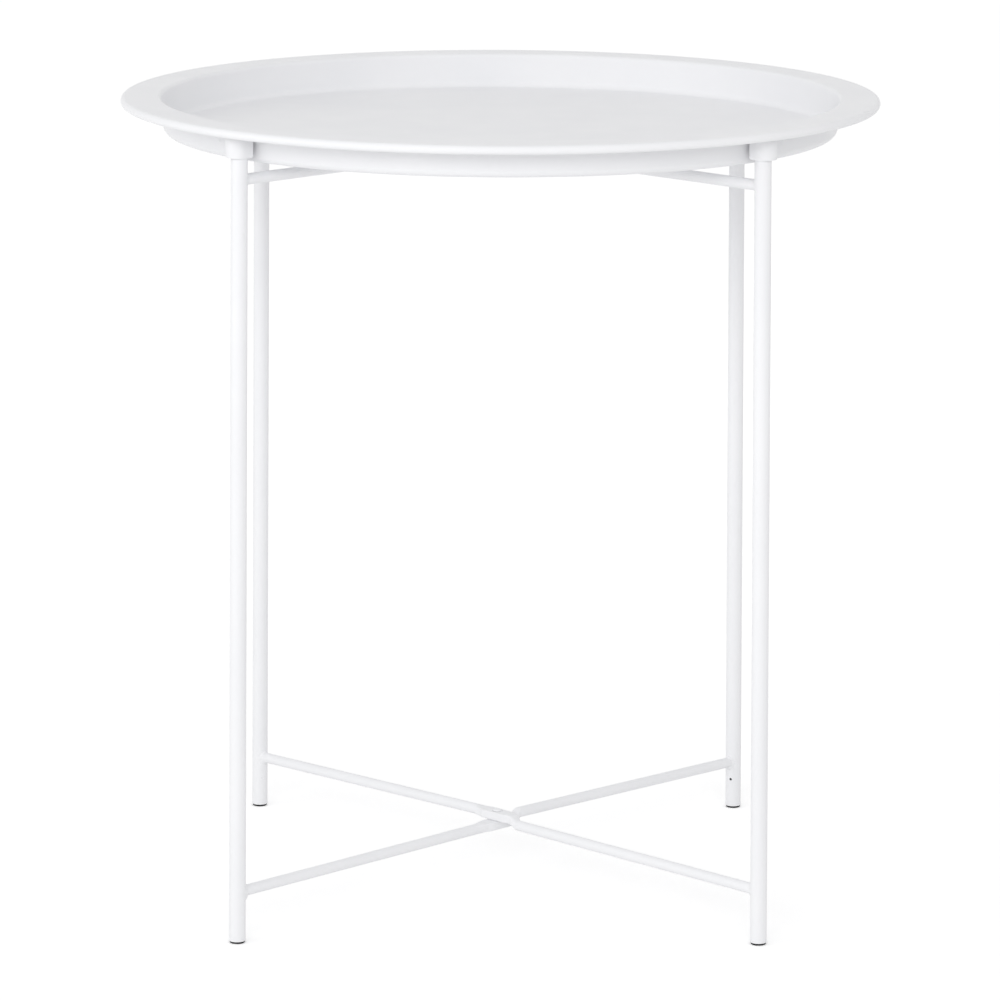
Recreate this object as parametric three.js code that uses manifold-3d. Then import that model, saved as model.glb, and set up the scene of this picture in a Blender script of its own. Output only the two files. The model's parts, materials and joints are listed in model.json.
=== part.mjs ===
// Round folding tray table: a pressed steel tray with four welded strap hooks, hung over two
// tube frames that are riveted together on the vertical axis and fold about it.
// Millimetres, +Z up, origin on the floor under the middle of the tray, +X to the right and
// -Y to the front. Seen from the front, frame A runs from back left to front right and frame B
// from front left to back right.

import * as THREE from 'three';
import { mergeVertices } from 'three/addons/utils/BufferGeometryUtils.js';
import Module from 'manifold-3d';

const wasm = await Module();
wasm.setup();

// ---------------------------------------------------------------- driving dimensions

// Overall
const TABLE_HEIGHT = 500;           // floor to the top of the rim
const TRAY_RADIUS = 235;            // axis to the outside of the curled edge

// Tray, pressed from one sheet
const TRAY_SHEET = 0.8;
const TRAY_HEIGHT = 22.5;           // top of the rim to the underside of the floor
const RIM_WIDTH = 25;               // curled edge to the inner edge of the flat rim
const CURL_DIAMETER = 5.4;          // the edge rolled under the rim
const CURL_TURN = 265;              // degrees that the sheet turns in the curl
const WALL_DRAFT = 5.5;             // degrees that the wall leans outward
const FLOOR_CORNER = 4;             // bend at the floor, inside radius
const RIM_CORNER = 1.8;             // bend at the rim, inside radius

// Legs, drawn steel tube
const LEG_RADIUS = 5.1;
const LEG_WALL = 0.9;
const LEG_SPLAY = 6;                // how much further out a leg stands than its top
const VENT_RADIUS = 1.1;            // drain hole near the foot, left open for the coating bath
const VENT_HEIGHT = 20;
const VENT_AZIMUTH = 22;            // degrees from the frame's own plane

// Plugs in both ends of each leg
const PLUG_STEM = 7;
const PLUG_EDGE = 0.5;              // rounding of the rim of a plug's head
const FOOT_HEAD = 1.8;
const CAP_HEAD = 1.2;

// Crossbars, a thinner tube. Where two cross, each is pressed a little flatter, so that they lap
// and their outer sides run nearly straight through.
const BAR_RADIUS = 3.25;
const BAR_WALL = 0.9;
const BAR_STAGGER = 2.3;            // height between the two bars of a pair, at the legs
const FLAT_THICKNESS = 5.25;
const FLAT_LENGTH = 17;             // flat part, rivet in the middle
const FLAT_TAPER = 8;               // length over which the round tube goes flat, each side
const FLAT_RAISE = 2;               // the crossing sits above the bars' ends
const FLAT_STEP = 1.5;              // the back half leaves the flat this much high, the front low
const LOWER_BAR_HEIGHT = 32.6;      // middle height of the lower pair where they meet the legs
const UPPER_BAR_DROP = 33.2;        // rim top down to the middle height of the upper pair

// Rivets
const RIVET_RADIUS = 1.5;
const RIVET_HEAD_RADIUS = 2.9;
const RIVET_HEAD_RISE = 1.3;
const RIVET_TAIL_RADIUS = 2.4;
const RIVET_TAIL_RISE = 1;

// Hooks, bent from flat strap
const STRAP = 1.1;
const HOOK_HEIGHT = 15.8;
const HOOK_PLAY = 1.4;              // loop's inside radius less the leg's
const HOOK_SHIFT = 1.1;             // loop's middle from the leg's, as the leg leans on the free arm
const HOOK_BEND = 1.8;              // bend between the loop and its flange, middle radius
const HOOK_FLANGE = 16.5;           // length that lies along the wall and is welded to it
const HOOK_MOUTH = 2;               // gap between the free end and the wall, at the hook's top
const HOOK_CORNER = 2.5;            // both corners of the free end are cut off
const LEG_TO_WALL = 1.9;            // leg to the wall of the tray at the hook's top

// Clearances
const SEAT = 0.3;                   // between pieces that touch
const PIVOT_GAP = 0.3;              // between the two flats under one rivet
const RIVET_PLAY = 0.3;             // shank in its hole

// Stance: the angle of each frame's plane from the left-right axis
const HALF_SPREAD = THREE.MathUtils.degToRad(44.7);

// Facets
const TRAY_SEGMENTS = 72;
const LEG_SEGMENTS = 24;
const BAR_SIDES = 16;
const SMALL_SEGMENTS = 16;

// ---------------------------------------------------------------- derived dimensions

const RIM_UNDERSIDE = TABLE_HEIGHT - TRAY_SHEET;
const TRAY_UNDERSIDE = TABLE_HEIGHT - TRAY_HEIGHT;
const DRAFT = THREE.MathUtils.degToRad(WALL_DRAFT);
const CAP_TOP = RIM_UNDERSIDE - SEAT;
const LEG_TOP = CAP_TOP - CAP_HEAD - SEAT;
const LEG_BOTTOM = FOOT_HEAD + SEAT;
const HOOK_TOP = RIM_UNDERSIDE - RIM_CORNER - TRAY_SHEET;
const HOOK_BOTTOM = HOOK_TOP - HOOK_HEIGHT;
const RIM_INNER_RADIUS = TRAY_RADIUS - RIM_WIDTH;
const LEG_TOP_RADIUS = wallRadius(HOOK_TOP) + LEG_TO_WALL + LEG_RADIUS;
const PIVOT_PITCH = FLAT_THICKNESS + PIVOT_GAP;
const UPPER_BAR_HEIGHT = TABLE_HEIGHT - UPPER_BAR_DROP;

// Radius of the tray wall's outer face at a height, from the sloping line through the point
// where the inner face would meet the top of the rim.
function wallRadius(height) {
  const thickness = TRAY_SHEET / Math.cos(DRAFT);
  return RIM_INNER_RADIUS + thickness - (TABLE_HEIGHT - height) * Math.tan(DRAFT);
}

// Distance of a leg's centreline from the table's axis at a height.
function legRadius(height) {
  return LEG_TOP_RADIUS + LEG_SPLAY * (1 - height / LEG_TOP);
}

// ---------------------------------------------------------------- materials

const coatedSteel = new THREE.MeshStandardMaterial({
  color: 0xf4f4f5, roughness: 0.55, metalness: 0.0,
});
const blackPlastic = new THREE.MeshStandardMaterial({
  color: 0x141414, roughness: 0.6, metalness: 0.0,
});

// ---------------------------------------------------------------- geometry helpers

function welded(geometry) {
  geometry.deleteAttribute('normal');
  geometry.deleteAttribute('uv');
  return mergeVertices(geometry, 1e-4);
}

function toManifold(geometry) {
  const merged = welded(geometry.clone());
  return new wasm.Manifold(new wasm.Mesh({
    numProp: 3,
    vertProperties: new Float32Array(merged.attributes.position.array),
    triVerts: new Uint32Array(merged.index.array),
  }));
}

function fromManifold(solid) {
  const mesh = solid.getMesh();
  const geometry = new THREE.BufferGeometry();
  geometry.setAttribute('position', new THREE.BufferAttribute(mesh.vertProperties, 3));
  geometry.setIndex(new THREE.BufferAttribute(mesh.triVerts, 1));
  geometry.computeVertexNormals();
  return geometry;
}

function cut(body, ...tools) {
  const solid = tools.reduce((left, tool) => left.subtract(toManifold(tool)), toManifold(body));
  return fromManifold(solid);
}

// Closed skin over rings that all have the same number of points, each anticlockwise round the
// direction of travel. The row of rings has flat ends, or joins up with itself in a loop.
function loft(rings, { looped = false } = {}) {
  const sides = rings[0].length;
  const positions = rings.flat().flatMap((point) => [point.x, point.y, point.z]);
  const triangles = [];
  const bands = looped ? rings.length : rings.length - 1;
  for (let band = 0; band < bands; band += 1) {
    const here = band * sides;
    const there = ((band + 1) % rings.length) * sides;
    for (let side = 0; side < sides; side += 1) {
      const next = (side + 1) % sides;
      triangles.push(here + side, here + next, there + next);
      triangles.push(here + side, there + next, there + side);
    }
  }
  if (!looped) {
    const last = (rings.length - 1) * sides;
    for (let side = 1; side + 1 < sides; side += 1) {
      triangles.push(0, side + 1, side);
      triangles.push(last, last + side, last + side + 1);
    }
  }
  const geometry = new THREE.BufferGeometry();
  geometry.setAttribute('position', new THREE.Float32BufferAttribute(positions, 3));
  geometry.setIndex(triangles);
  geometry.computeVertexNormals();
  return geometry;
}

// Revolves a profile of [radius, height] about the Z axis. The profile runs anticlockwise.
function revolve(profile, segments) {
  const points = profile.map(([radius, height]) => new THREE.Vector2(radius, height));
  const geometry = new THREE.LatheGeometry(points, segments);
  return geometry.rotateX(Math.PI / 2);
}

// Points of an arc in the plane, angles in degrees.
function arc(centreX, centreY, radius, from, to, steps) {
  return Array.from({ length: steps + 1 }, (_, index) => {
    const angle = THREE.MathUtils.degToRad(from + ((to - from) * index) / steps);
    return [centreX + radius * Math.cos(angle), centreY + radius * Math.sin(angle)];
  });
}

function cylinder(radius, bottom, top, segments) {
  const geometry = new THREE.CylinderGeometry(radius, radius, top - bottom, segments);
  return geometry.rotateX(Math.PI / 2).translate(0, 0, (bottom + top) / 2);
}

// Leans a solid that stands on the Z axis so that its centreline follows a leg's.
function leanAsLeg(geometry) {
  const slope = -LEG_SPLAY / LEG_TOP;
  const shear = new THREE.Matrix4().makeShear(0, 0, 0, 0, slope, 0);
  return geometry.applyMatrix4(shear).translate(legRadius(0), 0, 0);
}

function named(name, geometry, material) {
  const mesh = new THREE.Mesh(geometry, material);
  mesh.name = name;
  return mesh;
}

// ---------------------------------------------------------------- tray

// One sheet followed from the middle of the floor, up the wall, over the rim and round the
// curl. Each bend is drawn once and offset to both faces of the sheet.
function trayGeometry() {
  const floorBend = { inner: FLOOR_CORNER, outer: FLOOR_CORNER + TRAY_SHEET };
  const rimBend = { inner: RIM_CORNER, outer: RIM_CORNER + TRAY_SHEET };
  const curl = { inner: CURL_DIAMETER / 2 - TRAY_SHEET, outer: CURL_DIAMETER / 2 };

  const floorCentreHeight = TRAY_UNDERSIDE + floorBend.outer;
  const floorCentreRadius = wallRadius(floorCentreHeight) - floorBend.outer / Math.cos(DRAFT);
  const rimCentreHeight = TABLE_HEIGHT - rimBend.outer;
  const rimCentreRadius = wallRadius(rimCentreHeight) + rimBend.inner / Math.cos(DRAFT);
  const curlCentreRadius = TRAY_RADIUS - curl.outer;
  const curlCentreHeight = TABLE_HEIGHT - curl.outer;
  const curlEnd = 90 - CURL_TURN;

  const upperFace = [
    ...arc(floorCentreRadius, floorCentreHeight, floorBend.inner, -90, -WALL_DRAFT, 4),
    ...arc(rimCentreRadius, rimCentreHeight, rimBend.outer, 180 - WALL_DRAFT, 90, 4),
    ...arc(curlCentreRadius, curlCentreHeight, curl.outer, 90, curlEnd, 9),
  ];
  const lowerFace = [
    ...arc(floorCentreRadius, floorCentreHeight, floorBend.outer, -90, -WALL_DRAFT, 4),
    ...arc(rimCentreRadius, rimCentreHeight, rimBend.inner, 180 - WALL_DRAFT, 90, 3),
    ...arc(curlCentreRadius, curlCentreHeight, curl.inner, 90, curlEnd, 6),
  ];
  const profile = [
    [0, TRAY_UNDERSIDE],
    ...lowerFace,
    ...upperFace.reverse(),
    [0, TRAY_UNDERSIDE + TRAY_SHEET],
  ];
  return revolve(profile, TRAY_SEGMENTS);
}

// Centreline of a hook's strap in plan at one height, from the end of the flange to the free
// end. The leg's centre is the origin, +X points away from the table's axis and the flange lies
// on the -Y side. The flange follows the round wall, so it leans with the wall's draft. The free
// end stands upright.
function hookPath(height) {
  const loopRadius = LEG_RADIUS + HOOK_PLAY + STRAP / 2;
  const flangeRadius = wallRadius(height) + SEAT + STRAP / 2;
  const bendStart = HOOK_SHIFT + loopRadius + HOOK_BEND;
  const onWall = (distance) => [
    Math.sqrt(flangeRadius ** 2 - distance ** 2) - LEG_TOP_RADIUS,
    -distance,
  ];
  const flangeSteps = [1, 2 / 3, 1 / 3].map((share) => onWall(bendStart + share * HOOK_FLANGE));
  const [bendX] = onWall(bendStart);
  const freeEnd = wallRadius(HOOK_TOP) + HOOK_MOUTH - LEG_TOP_RADIUS;
  return [
    ...flangeSteps,
    ...arc(bendX + HOOK_BEND, -bendStart, HOOK_BEND, 180, 90, 4),
    ...arc(0, -HOOK_SHIFT, loopRadius, -90, 90, 14),
    [freeEnd + HOOK_CORNER, loopRadius - HOOK_SHIFT],
    [freeEnd, loopRadius - HOOK_SHIFT],
  ];
}

// The strap's two faces at one height, offset from its centreline.
function strapFaces(path) {
  const points = path.map(([x, y]) => new THREE.Vector2(x, y));
  return points.map((point, index) => {
    const before = points[Math.max(index - 1, 0)];
    const after = points[Math.min(index + 1, points.length - 1)];
    const along = after.clone().sub(before).normalize();
    const across = new THREE.Vector2(-along.y, along.x).multiplyScalar(STRAP / 2);
    return [point.clone().add(across), point.clone().sub(across)];
  });
}

function hookGeometry() {
  const bottom = strapFaces(hookPath(HOOK_BOTTOM));
  const top = strapFaces(hookPath(HOOK_TOP));
  const rings = bottom.map(([leftLow, rightLow], index) => {
    const [leftHigh, rightHigh] = top[index];
    const corner = index === bottom.length - 1 ? HOOK_CORNER : 0;
    return [
      new THREE.Vector3(leftLow.x, leftLow.y, HOOK_BOTTOM + corner),
      new THREE.Vector3(leftHigh.x, leftHigh.y, HOOK_TOP - corner),
      new THREE.Vector3(rightHigh.x, rightHigh.y, HOOK_TOP - corner),
      new THREE.Vector3(rightLow.x, rightLow.y, HOOK_BOTTOM + corner),
    ];
  });
  return loft(rings);
}

// ---------------------------------------------------------------- legs and plugs

function legGeometry(ventAngle) {
  const bore = LEG_RADIUS - LEG_WALL;
  const tube = leanAsLeg(revolve([
    [bore, LEG_BOTTOM],
    [LEG_RADIUS, LEG_BOTTOM],
    [LEG_RADIUS, LEG_TOP],
    [bore, LEG_TOP],
    [bore, LEG_BOTTOM],
  ], LEG_SEGMENTS));
  const drill = cylinder(VENT_RADIUS, 0, 2 * LEG_RADIUS, SMALL_SEGMENTS / 2);
  drill.rotateY(Math.PI / 2).rotateZ(ventAngle).translate(legRadius(VENT_HEIGHT), 0, VENT_HEIGHT);
  return cut(tube, drill);
}

// A push-in plug: a head as wide as the tube and a stem that fits its bore. It is drawn with
// the head down, for a foot, and turned over for the top of a leg.
function plugGeometry(head) {
  const stem = LEG_RADIUS - LEG_WALL - SEAT;
  return revolve([
    [0, 0],
    ...arc(LEG_RADIUS - PLUG_EDGE, PLUG_EDGE, PLUG_EDGE, -90, 0, 2),
    [LEG_RADIUS, head],
    [stem, head],
    [stem, head + PLUG_STEM],
    [0, head + PLUG_STEM],
  ], LEG_SEGMENTS);
}

// ---------------------------------------------------------------- crossbars and rivets

// Section of the flattened tube: two half rounds joined by straight sides. The girth stays that
// of the round tube, so the section widens by what it loses in height. The bore's section is the
// same, inset by the wall.
function barSection({ x, height, half }, inset) {
  const halfFlat = (Math.PI / 2) * (BAR_RADIUS - half);
  const radius = half - inset;
  return Array.from({ length: BAR_SIDES }, (_, side) => {
    const angle = ((side + 0.5) * 2 * Math.PI) / BAR_SIDES;
    const y = Math.sign(Math.cos(angle)) * halfFlat + radius * Math.cos(angle);
    return new THREE.Vector3(x, y, height + radius * Math.sin(angle));
  });
}

// A crossbar along X, for the pair whose ends have their middle at pairHeight. layer is 1 for the
// bar whose flat lies on top and -1 for the one below. stepUp is the sign of X of the half that
// leaves the flat stepped up; the other half is stepped down.
function barGeometry(pairHeight, layer, stepUp) {
  const endHeight = pairHeight + (layer * BAR_STAGGER) / 2;
  const flatHeight = pairHeight + FLAT_RAISE + (layer * PIVOT_PITCH) / 2;
  const reach = legRadius(endHeight);

  const halfBar = (side) => {
    const exitHeight = endHeight + FLAT_RAISE + FLAT_STEP * side * stepUp;
    const taper = [0, 0.15, 0.35, 0.5, 0.65, 0.85, 1].map((share) => {
      const eased = share * share * (3 - 2 * share);
      return {
        x: side * (FLAT_LENGTH / 2 + share * FLAT_TAPER),
        height: THREE.MathUtils.lerp(flatHeight, exitHeight, eased),
        half: THREE.MathUtils.lerp(FLAT_THICKNESS / 2, BAR_RADIUS, eased),
      };
    });
    return [...taper, { x: side * reach, height: endHeight, half: BAR_RADIUS }];
  };
  const stations = [...halfBar(-1).reverse(), ...halfBar(1)];
  const skin = stations.map((station) => barSection(station, 0));
  const bore = stations.map((station) => barSection(station, BAR_WALL)).reverse();

  const rivetHole = cylinder(
    RIVET_RADIUS + RIVET_PLAY, flatHeight - BAR_RADIUS, flatHeight + BAR_RADIUS, SMALL_SEGMENTS,
  );
  const cope = () => leanAsLeg(
    cylinder(LEG_RADIUS + SEAT, endHeight - 2 * BAR_RADIUS, endHeight + 2 * BAR_RADIUS, LEG_SEGMENTS),
  );
  return cut(loft([...skin, ...bore], { looped: true }), rivetHole, cope(), cope().rotateZ(Math.PI));
}

// A domed rivet through both flats of the crossing whose middle is at middleHeight.
function rivetGeometry(middleHeight) {
  const headSeat = middleHeight + PIVOT_PITCH / 2 + FLAT_THICKNESS / 2 + SEAT;
  const tailSeat = middleHeight - PIVOT_PITCH / 2 - FLAT_THICKNESS / 2 - SEAT;
  const dome = (radius, seat, rise) => arc(0, 0, 1, 0, 90, 4)
    .map(([out, up]) => [radius * out, seat + rise * up]);
  const tail = dome(RIVET_TAIL_RADIUS, tailSeat, -RIVET_TAIL_RISE).reverse();
  const head = dome(RIVET_HEAD_RADIUS, headSeat, RIVET_HEAD_RISE);
  tail[0][0] = 0;
  head[head.length - 1][0] = 0;
  return revolve([
    ...tail,
    [RIVET_RADIUS, tailSeat],
    [RIVET_RADIUS, headSeat],
    ...head,
  ], SMALL_SEGMENTS);
}

// ---------------------------------------------------------------- assembly

// A frame lies along its own X axis: a leg at each end and two crossbars between them.
function frameGroup({ letter, angle, ends, lowerLayer, stepUp }) {
  const frame = new THREE.Group();
  frame.rotation.z = angle;
  for (const [side, place] of Object.entries(ends)) {
    const turned = new THREE.Group();
    turned.rotation.z = side === 'positive' ? 0 : Math.PI;
    const inward = Math.PI + THREE.MathUtils.degToRad(VENT_AZIMUTH) * Math.sign(angle);
    turned.add(named(`leg_${place}`, legGeometry(inward), coatedSteel));

    const foot = named(`foot_plug_${place}`, plugGeometry(FOOT_HEAD), blackPlastic);
    foot.position.set(legRadius(0), 0, 0);
    const cap = named(`top_plug_${place}`, plugGeometry(CAP_HEAD), blackPlastic);
    cap.rotation.x = Math.PI;
    cap.position.set(LEG_TOP_RADIUS, 0, CAP_TOP);
    turned.add(foot, cap);
    frame.add(turned);
  }
  const lowerBar = barGeometry(LOWER_BAR_HEIGHT, lowerLayer, stepUp);
  const upperBar = barGeometry(UPPER_BAR_HEIGHT, -lowerLayer, stepUp);
  frame.add(named(`lower_bar_${letter}`, lowerBar, coatedSteel));
  frame.add(named(`upper_bar_${letter}`, upperBar, coatedSteel));
  return frame;
}

// At the lower crossing frame A's bar lies on frame B's, and at the upper one B's lies on A's.
// In both frames the half at the back is the one that is stepped up.
const frameA = frameGroup({
  letter: 'a',
  angle: -HALF_SPREAD,
  ends: { negative: 'back_left', positive: 'front_right' },
  lowerLayer: 1,
  stepUp: -1,
});
const frameB = frameGroup({
  letter: 'b',
  angle: HALF_SPREAD,
  ends: { negative: 'front_left', positive: 'back_right' },
  lowerLayer: -1,
  stepUp: 1,
});

const rivets = [['lower', LOWER_BAR_HEIGHT], ['upper', UPPER_BAR_HEIGHT]].map(
  ([level, pairHeight]) => (
    named(`rivet_${level}`, rivetGeometry(pairHeight + FLAT_RAISE), coatedSteel)
  ),
);

// Hooks: the free arm faces the front on the front pair and the back on the back pair.
const hooks = [
  ['front_left', Math.PI + HALF_SPREAD, 1],
  ['front_right', -HALF_SPREAD, -1],
  ['back_left', Math.PI - HALF_SPREAD, -1],
  ['back_right', HALF_SPREAD, 1],
].map(([place, azimuth, hand]) => {
  const geometry = hookGeometry();
  if (hand < 0) {
    geometry.scale(1, -1, 1);
    const index = geometry.index.array;
    for (let corner = 0; corner < index.length; corner += 3) {
      [index[corner], index[corner + 1]] = [index[corner + 1], index[corner]];
    }
  }
  const hook = named(`hook_${place}`, geometry, coatedSteel);
  hook.position.set(LEG_TOP_RADIUS * Math.cos(azimuth), LEG_TOP_RADIUS * Math.sin(azimuth), 0);
  hook.rotation.z = azimuth;
  return hook;
});

const table = new THREE.Group();
table.add(named('tray_pan', trayGeometry(), coatedSteel), ...hooks, frameA, frameB, ...rivets);

export default table;
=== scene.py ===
"""Looks of a round folding tray table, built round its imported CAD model.

A finer mesh lies in the place of each CAD node and replaces it, and the weld beads that the CAD
model leaves out are added. Lengths are in millimetres and most angles in degrees until a mesh is
made from them. The camera, the materials, the floor and the lamps are in metres.
"""

import json
import math

import bmesh
import bpy
import numpy as np
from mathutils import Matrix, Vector

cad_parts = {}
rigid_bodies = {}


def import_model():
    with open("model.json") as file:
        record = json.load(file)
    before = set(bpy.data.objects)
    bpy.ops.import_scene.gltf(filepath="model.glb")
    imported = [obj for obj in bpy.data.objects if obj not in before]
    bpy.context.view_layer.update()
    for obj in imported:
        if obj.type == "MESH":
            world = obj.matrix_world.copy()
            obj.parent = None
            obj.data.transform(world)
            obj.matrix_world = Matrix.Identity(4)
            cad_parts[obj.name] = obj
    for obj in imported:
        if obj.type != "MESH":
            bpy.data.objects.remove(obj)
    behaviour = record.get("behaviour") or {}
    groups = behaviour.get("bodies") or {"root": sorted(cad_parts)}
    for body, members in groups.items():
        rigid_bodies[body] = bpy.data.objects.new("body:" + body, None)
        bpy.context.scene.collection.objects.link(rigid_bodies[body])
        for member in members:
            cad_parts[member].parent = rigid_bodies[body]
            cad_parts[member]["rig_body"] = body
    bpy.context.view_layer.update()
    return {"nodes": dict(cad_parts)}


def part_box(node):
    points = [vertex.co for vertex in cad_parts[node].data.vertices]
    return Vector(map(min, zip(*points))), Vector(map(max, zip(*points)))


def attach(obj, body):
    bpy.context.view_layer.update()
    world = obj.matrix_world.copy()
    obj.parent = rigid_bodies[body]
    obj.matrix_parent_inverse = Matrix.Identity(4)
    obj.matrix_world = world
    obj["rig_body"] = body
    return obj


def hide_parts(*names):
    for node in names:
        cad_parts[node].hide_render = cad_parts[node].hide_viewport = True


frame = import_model()

MM = 0.001


def new_object(name, data):
    """An object with that data, in the scene."""
    made = bpy.data.objects.new(name, data)
    bpy.context.scene.collection.objects.link(made)
    return made


def facing(place, aim):
    """Rotation that points a camera or a lamp from its place toward a point."""
    return (Vector(aim) - Vector(place)).to_track_quat("-Z", "Y").to_euler()


# ------------------------------------------------------------------ camera

# Place, aim and clipping distance in metres, roll in radians, lens and sensor in millimetres
CAMERA_PLACE = (-0.01222, -3.07806, 0.89293)
CAMERA_AIM = (0.00079, 0.0, 0.24287)
CAMERA_ROLL = 0.0044
CAMERA_LENS = 179.6
CAMERA_SENSOR = 36.0
CAMERA_CLIP = 100.0

camera_data = bpy.data.cameras.new("camera")
camera_data.lens = CAMERA_LENS
camera_data.sensor_width = CAMERA_SENSOR
camera_data.clip_end = CAMERA_CLIP
camera = new_object("camera", camera_data)
camera.location = CAMERA_PLACE
camera.rotation_euler = facing(CAMERA_PLACE, CAMERA_AIM)
camera.rotation_euler.rotate_axis("Z", CAMERA_ROLL)
bpy.context.scene.camera = camera

# ------------------------------------------------------------------ construction sizes, mm

# Tray, pressed from one sheet; its curl and draft are in degrees
TRAY_SHEET = 0.8
RIM_WIDTH = 25.0
CURL_RADIUS = 2.7
CURL_TURN = 265.0
WALL_DRAFT = 5.5
FLOOR_CORNER = 4.0
RIM_CORNER = 1.8

# Legs. The vent is the drain hole near the foot, some degrees off the line to the table's axis;
# where it is coated shut, it shows as a dimple that deep
VENT_RADIUS = 0.85
VENT_HEIGHT = 20.0
VENT_AZIMUTH = 22.0
VENT_EDGE = 0.15
VENT_DIMPLE = 0.35
DIMPLE_RADIUS = 0.51
TUBE_EDGE = 0.25

# Plugs: a foot under each leg and a cap on top, each with a stem in the bore. A foot shows that far
# below its tube, and its radius is smaller than the tube's by the inset
FOOT_SHOW = 1.3
FOOT_INSET = 0.35
FOOT_EDGE = 0.9
FOOT_RECESS = 0.35
CAP_EDGE = 0.5
CAP_RECESS = 0.2
PLUG_STEM = 7.0
PLUG_PLAY = 0.3
SOLE_RIM = 1.1
SOLE_SLOPE = 0.6
HEAD_CHAMFER = 0.15
STEM_ROOT = 0.2
STEM_CHAMFER = 0.8
# The moulding mark in the middle of a sole: inner edge, crest and outer edge, and how far it rises
MARK_RADII = (0.55, 0.75, 1.0)
MARK_RISE = 0.12

# Crossbars: round tubes in pairs, each flattened to a lap where the two cross. The ends of a pair
# are staggered in height, and the middles of its laps lie a pitch apart. The laps are raised above
# the ends, and beside its lap a bar is a step higher on one side and a step lower on the other
PAIR_HEIGHT = {"lower": 32.6, "upper": 466.8}
BAR_RADIUS = 3.4
BAR_STAGGER = 2.3
PIVOT_PITCH = 5.55
LAP_THICKNESS = 5.5
LAP_HALF_WIDTH = 5.1
LAP_END_HALF_WIDTH = 3.8
LAP_CORNER = 0.8
LAP_WIDE_LENGTH = 17.0
LAP_LENGTH = 27.0
LAP_TAPER = 5.5
LAP_RAISE = 2.0
LAP_STEP = 1.9

# Rivets
RIVET_RADIUS = 1.5
RIVET_HEAD_RADIUS = 3.0
RIVET_HEAD_RISE = 1.3
RIVET_TAIL_RADIUS = 2.4
RIVET_TAIL_RISE = 1.0
RIVET_LIP = 0.3
RIVET_PLAY = 0.3

# Hooks, bent from flat strap round the leg tops, off centre by the shift. The flange leans by a
# share of the tray wall's own lean, the free end stands off the wall by the mouth, and the lower
# edge is lifted from the CAD's
STRAP = 1.1
HOOK_PLAY = 1.4
HOOK_SHIFT = 1.1
HOOK_BEND = 1.8
HOOK_FLANGE = 16.5
FLANGE_LEAN = 0.3
HOOK_MOUTH = 2.0
HOOK_LIFT = 0.5
STRAP_EDGE = 0.25
FREE_CORNER = 1.4
FLANGE_CORNER = 0.8

# Welds. A bar's bead has a size and a share by which it is larger underneath, and the heavy one,
# at the left end of frame b's lower bar, has a drip
BAR_WELD = {"lower": (0.95, 0.2), "upper": (0.85, 0.0)}
HEAVY_WELD = (1.25, 1.1)
HEAVY_AT = ("lower", "b", "left")
HOOK_WELD_SIZE = 2.0
HOOK_WELD_RISE = 0.3
# How far below a hook's top edge its weld starts and ends
HOOK_WELD_REACH = (11.0, 2.2)

# Clearance between touching pieces, small enough not to show
CONTACT = 0.05

# ------------------------------------------------------------------ places, from the CAD

# Points this near to a height count as lying at it
LEVEL_PLAY = 0.01


def box_mm(node):
    """Lowest and highest corners of a node's box."""
    low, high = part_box(node)
    return low / MM, high / MM


def ring_of(node, height):
    """Centre, largest radius and smallest radius of the points of a node at one height."""
    points = np.array([v.co for v in frame["nodes"][node].data.vertices]) / MM
    level = points[np.abs(points[:, 2] - height) < LEVEL_PLAY][:, :2]
    centre = (level.min(0) + level.max(0)) / 2
    spread = np.linalg.norm(level - centre, axis=1)
    return centre, spread.max(), spread.min()


PLACES = ("front_left", "front_right", "back_left", "back_right")
# 1 where a hook's flange and a leg's drain hole lie clockwise from the leg, seen from above
HAND = {"front_left": 1, "front_right": -1, "back_left": -1, "back_right": 1}
tray_low, tray_high = box_mm("tray_pan")
TABLE_HEIGHT = tray_high.z
TRAY_RADIUS = tray_high.x
TRAY_UNDERSIDE = tray_low.z
leg_low, leg_high = box_mm("leg_front_left")
LEG_BOTTOM, LEG_TOP = leg_low.z, leg_high.z
low_centre, LEG_RADIUS, LEG_BORE = ring_of("leg_front_left", LEG_BOTTOM)
high_centre = ring_of("leg_front_left", LEG_TOP)[0]
LEG_LOW_REACH = float(np.linalg.norm(low_centre))
LEG_HIGH_REACH = float(np.linalg.norm(high_centre))
hook_low, hook_high = box_mm("hook_front_left")
HOOK_BOTTOM, HOOK_TOP = hook_low.z, hook_high.z
CAP_TOP = box_mm("top_plug_front_left")[1].z


def azimuth_of(place):
    """Angle about the table's axis at which a leg's top stands."""
    centre = ring_of(f"leg_{place}", LEG_TOP)[0]
    return math.atan2(centre[1], centre[0])


AZIMUTH = {place: azimuth_of(place) for place in PLACES}
DRAFT = math.radians(WALL_DRAFT)


def wall_radius(height):
    """Radius of the tray wall's outer face."""
    inner = TRAY_RADIUS - RIM_WIDTH
    return inner + TRAY_SHEET / math.cos(DRAFT) - (TABLE_HEIGHT - height) * math.tan(DRAFT)


def leg_reach(height):
    """Distance of a leg's centreline from the table's axis."""
    share = (height - LEG_BOTTOM) / (LEG_TOP - LEG_BOTTOM)
    return LEG_LOW_REACH + (LEG_HIGH_REACH - LEG_LOW_REACH) * share


# ------------------------------------------------------------------ materials

WHITE = (1.0, 1.0, 1.0, 1.0)
# The middle of a noise's range, which most of its values fill
NOISE_LOW, NOISE_HIGH = 0.3, 0.7


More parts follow.
